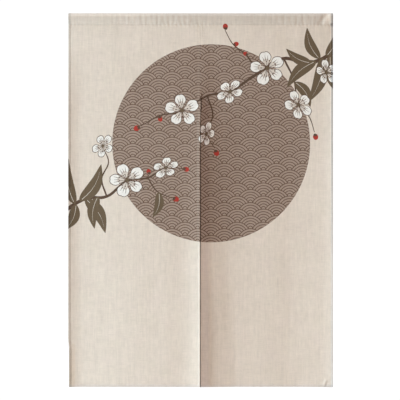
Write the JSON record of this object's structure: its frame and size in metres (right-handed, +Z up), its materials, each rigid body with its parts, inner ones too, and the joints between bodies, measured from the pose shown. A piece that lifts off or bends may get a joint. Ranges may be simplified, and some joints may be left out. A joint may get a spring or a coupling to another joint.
{
  "type": "noren curtain",
  "caption": "Split door curtain of linen-look cloth, hanging flat from a rod pocket, two panels sewn together at the top of the middle line and open below",
  "frame": {"origin": "middle of the top edge, where a rod in the pocket would carry the curtain", "axes": "+X to the right as seen from the front, +Y away from the viewer, +Z up; the printed face looks along -Y"},
  "size_m": [0.85, 0.032, 1.2],
  "materials": {
    "cloth": "matte linen-look weave, printed"
  },
  "bodies": {
    "root": {"panel_left": "cloth", "panel_right": "cloth"}
  },
  "joints": []
}
